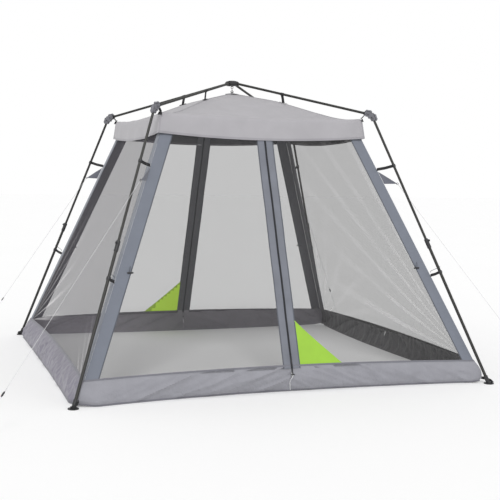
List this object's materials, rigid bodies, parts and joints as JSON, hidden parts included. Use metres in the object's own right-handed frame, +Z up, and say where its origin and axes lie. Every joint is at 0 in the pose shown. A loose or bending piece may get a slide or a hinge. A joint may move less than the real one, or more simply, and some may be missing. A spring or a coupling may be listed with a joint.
{
  "type": "screen house",
  "caption": "Pop-up square screen house on a folding pole frame, with a hung canopy, mesh walls, zipped front and back doors, a ground skirt and guylines.",
  "frame": {"origin": "on the ground, under the hub at the centre of the square", "axes": "+Z up, -Y towards the front door, +X to the right of someone who faces the front from inside looking +Y"},
  "size_m": [4.0571, 4.0854, 2.2644],
  "materials": {
    "steel": "satin dark grey powder coat",
    "elbow_plastic": "moulded, fine grain",
    "black_plastic": "moulded, satin",
    "roof_cloth": "coated polyester, plain weave",
    "sleeve_cloth": "coated polyester, plain weave",
    "mesh_cloth": "fine insect mesh, see-through",
    "skirt_cloth": "crumpled polyester",
    "cord": "braided white cord"
  },
  "bodies": {
    "hub": {"hub_body": "black_plastic", "canopy_hook": "steel", "canopy": "roof_cloth", "front_wall_a": "mesh_cloth", "front_wall_b": "mesh_cloth", "back_wall_a": "mesh_cloth", "back_wall_b": "mesh_cloth", "left_wall": "mesh_cloth", "right_wall": "mesh_cloth", "front_skirt": "skirt_cloth", "back_skirt": "skirt_cloth", "left_skirt": "skirt_cloth", "right_skirt": "skirt_cloth", "guy_tab_fl": "sleeve_cloth", "guyline_fl": "cord", "guy_peg_fl": "steel", "guy_tab_fr": "sleeve_cloth", "guyline_fr": "cord", "guy_peg_fr": "steel", "guy_tab_br": "sleeve_cloth", "guyline_br": "cord", "guy_peg_br": "steel", "guy_tab_bl": "sleeve_cloth", "guyline_bl": "cord", "guy_peg_bl": "steel"},
    "pole_fl": {"roof_pole_fl": "steel", "elbow_casing_fl": "elbow_plastic"},
    "leg_fl": {"elbow_knuckle_fl": "elbow_plastic", "leg_upper_fl": "steel"},
    "lower_fl": {"leg_lower_fl": "steel", "leg_collar_fl": "black_plastic", "foot_fl": "black_plastic"},
    "button_fl": {"leg_button_fl": "black_plastic"},
    "pole_fr": {"roof_pole_fr": "steel", "elbow_casing_fr": "elbow_plastic"},
    "leg_fr": {"elbow_knuckle_fr": "elbow_plastic", "leg_upper_fr": "steel"},
    "lower_fr": {"leg_lower_fr": "steel", "leg_collar_fr": "black_plastic", "foot_fr": "black_plastic"},
    "button_fr": {"leg_button_fr": "black_plastic"},
    "pole_br": {"roof_pole_br": "steel", "elbow_casing_br": "elbow_plastic"},
    "leg_br": {"elbow_knuckle_br": "elbow_plastic", "leg_upper_br": "steel"},
    "lower_br": {"leg_lower_br": "steel", "leg_collar_br": "black_plastic", "foot_br": "black_plastic"},
    "button_br": {"leg_button_br": "black_plastic"},
    "pole_bl": {"roof_pole_bl": "steel", "elbow_casing_bl": "elbow_plastic"},
    "leg_bl": {"elbow_knuckle_bl": "elbow_plastic", "leg_upper_bl": "steel"},
    "lower_bl": {"leg_lower_bl": "steel", "leg_collar_bl": "black_plastic", "foot_bl": "black_plastic"},
    "button_bl": {"leg_button_bl": "black_plastic"},
    "front_slider": {"front_zip_slider": "black_plastic"},
    "back_slider": {"back_zip_slider": "black_plastic"}
  },
  "joints": [
    {"name": "hub_hinge_fl", "type": "hinge", "parent": "hub", "child": "pole_fl", "pos_m": [-0.0297, -0.0297, 2.24137], "axis": [-0.7071, 0.7071, 0], "range_deg": [0, 96], "deforming": ["canopy", "front_wall_a", "front_wall_b", "back_wall_a", "back_wall_b", "left_wall", "right_wall", "front_skirt", "back_skirt", "left_skirt", "right_skirt", "guy_tab_fl", "guy_tab_fr", "guy_tab_br", "guy_tab_bl", "front_zip_slider", "back_zip_slider"]},
    {"name": "elbow_hinge_fl", "type": "hinge", "parent": "pole_fl", "child": "leg_fl", "pos_m": [-0.83628, -0.83628, 1.95518], "axis": [0.7071, -0.7071, 0], "range_deg": [0, 122.42]},
    {"name": "leg_slide_fl", "type": "slide", "parent": "leg_fl", "child": "lower_fl", "axis": [0.3083, 0.3083, 0.8999], "range_m": [0, 0.95]},
    {"name": "button_press_fl", "type": "slide", "parent": "lower_fl", "child": "button_fl", "axis": [0.6363, 0.6363, -0.436], "range_m": [0, 0.0028], "stiffness_N_per_m": 600, "springref_m": -0.002},
    {"name": "hub_hinge_fr", "type": "hinge", "parent": "hub", "child": "pole_fr", "pos_m": [0.0297, -0.0297, 2.24137], "axis": [-0.7071, -0.7071, 0], "range_deg": [0, 96]},
    {"name": "elbow_hinge_fr", "type": "hinge", "parent": "pole_fr", "child": "leg_fr", "pos_m": [0.83628, -0.83628, 1.95518], "axis": [0.7071, 0.7071, 0], "range_deg": [0, 122.42]},
    {"name": "leg_slide_fr", "type": "slide", "parent": "leg_fr", "child": "lower_fr", "axis": [-0.3083, 0.3083, 0.8999], "range_m": [0, 0.95]},
    {"name": "button_press_fr", "type": "slide", "parent": "lower_fr", "child": "button_fr", "axis": [-0.6363, 0.6363, -0.436], "range_m": [0, 0.0028], "stiffness_N_per_m": 600, "springref_m": -0.002},
    {"name": "hub_hinge_br", "type": "hinge", "parent": "hub", "child": "pole_br", "pos_m": [0.0297, 0.0297, 2.24137], "axis": [0.7071, -0.7071, 0], "range_deg": [0, 96]},
    {"name": "elbow_hinge_br", "type": "hinge", "parent": "pole_br", "child": "leg_br", "pos_m": [0.83628, 0.83628, 1.95518], "axis": [-0.7071, 0.7071, 0], "range_deg": [0, 122.42]},
    {"name": "leg_slide_br", "type": "slide", "parent": "leg_br", "child": "lower_br", "axis": [-0.3083, -0.3083, 0.8999], "range_m": [0, 0.95]},
    {"name": "button_press_br", "type": "slide", "parent": "lower_br", "child": "button_br", "axis": [-0.6363, -0.6363, -0.436], "range_m": [0, 0.0028], "stiffness_N_per_m": 600, "springref_m": -0.002},
    {"name": "hub_hinge_bl", "type": "hinge", "parent": "hub", "child": "pole_bl", "pos_m": [-0.0297, 0.0297, 2.24137], "axis": [0.7071, 0.7071, 0], "range_deg": [0, 96]},
    {"name": "elbow_hinge_bl", "type": "hinge", "parent": "pole_bl", "child": "leg_bl", "pos_m": [-0.83628, 0.83628, 1.95518], "axis": [-0.7071, -0.7071, 0], "range_deg": [0, 122.42]},
    {"name": "leg_slide_bl", "type": "slide", "parent": "leg_bl", "child": "lower_bl", "axis": [0.3083, -0.3083, 0.8999], "range_m": [0, 0.95]},
    {"name": "button_press_bl", "type": "slide", "parent": "lower_bl", "child": "button_bl", "axis": [0.6363, -0.6363, -0.436], "range_m": [0, 0.0028], "stiffness_N_per_m": 600, "springref_m": -0.002},
    {"name": "front_zip", "type": "slide", "parent": "leg_fl", "child": "front_slider", "axis": [0, 0.3697, 0.9291], "range_m": [0, 1.55]},
    {"name": "back_zip", "type": "slide", "parent": "leg_br", "child": "back_slider", "axis": [0, -0.3697, 0.9291], "range_m": [0, 1.55]}
  ],
  "couplings": [
    {"joint": "elbow_hinge_fl", "follows": "hub_hinge_fl", "ratio": 1.27},
    {"joint": "hub_hinge_fr", "follows": "hub_hinge_fl", "ratio": 1},
    {"joint": "elbow_hinge_fr", "follows": "hub_hinge_fl", "ratio": 1.27},
    {"joint": "hub_hinge_br", "follows": "hub_hinge_fl", "ratio": 1},
    {"joint": "elbow_hinge_br", "follows": "hub_hinge_fl", "ratio": 1.27},
    {"joint": "hub_hinge_bl", "follows": "hub_hinge_fl", "ratio": 1},
    {"joint": "elbow_hinge_bl", "follows": "hub_hinge_fl", "ratio": 1.27}
  ]
}
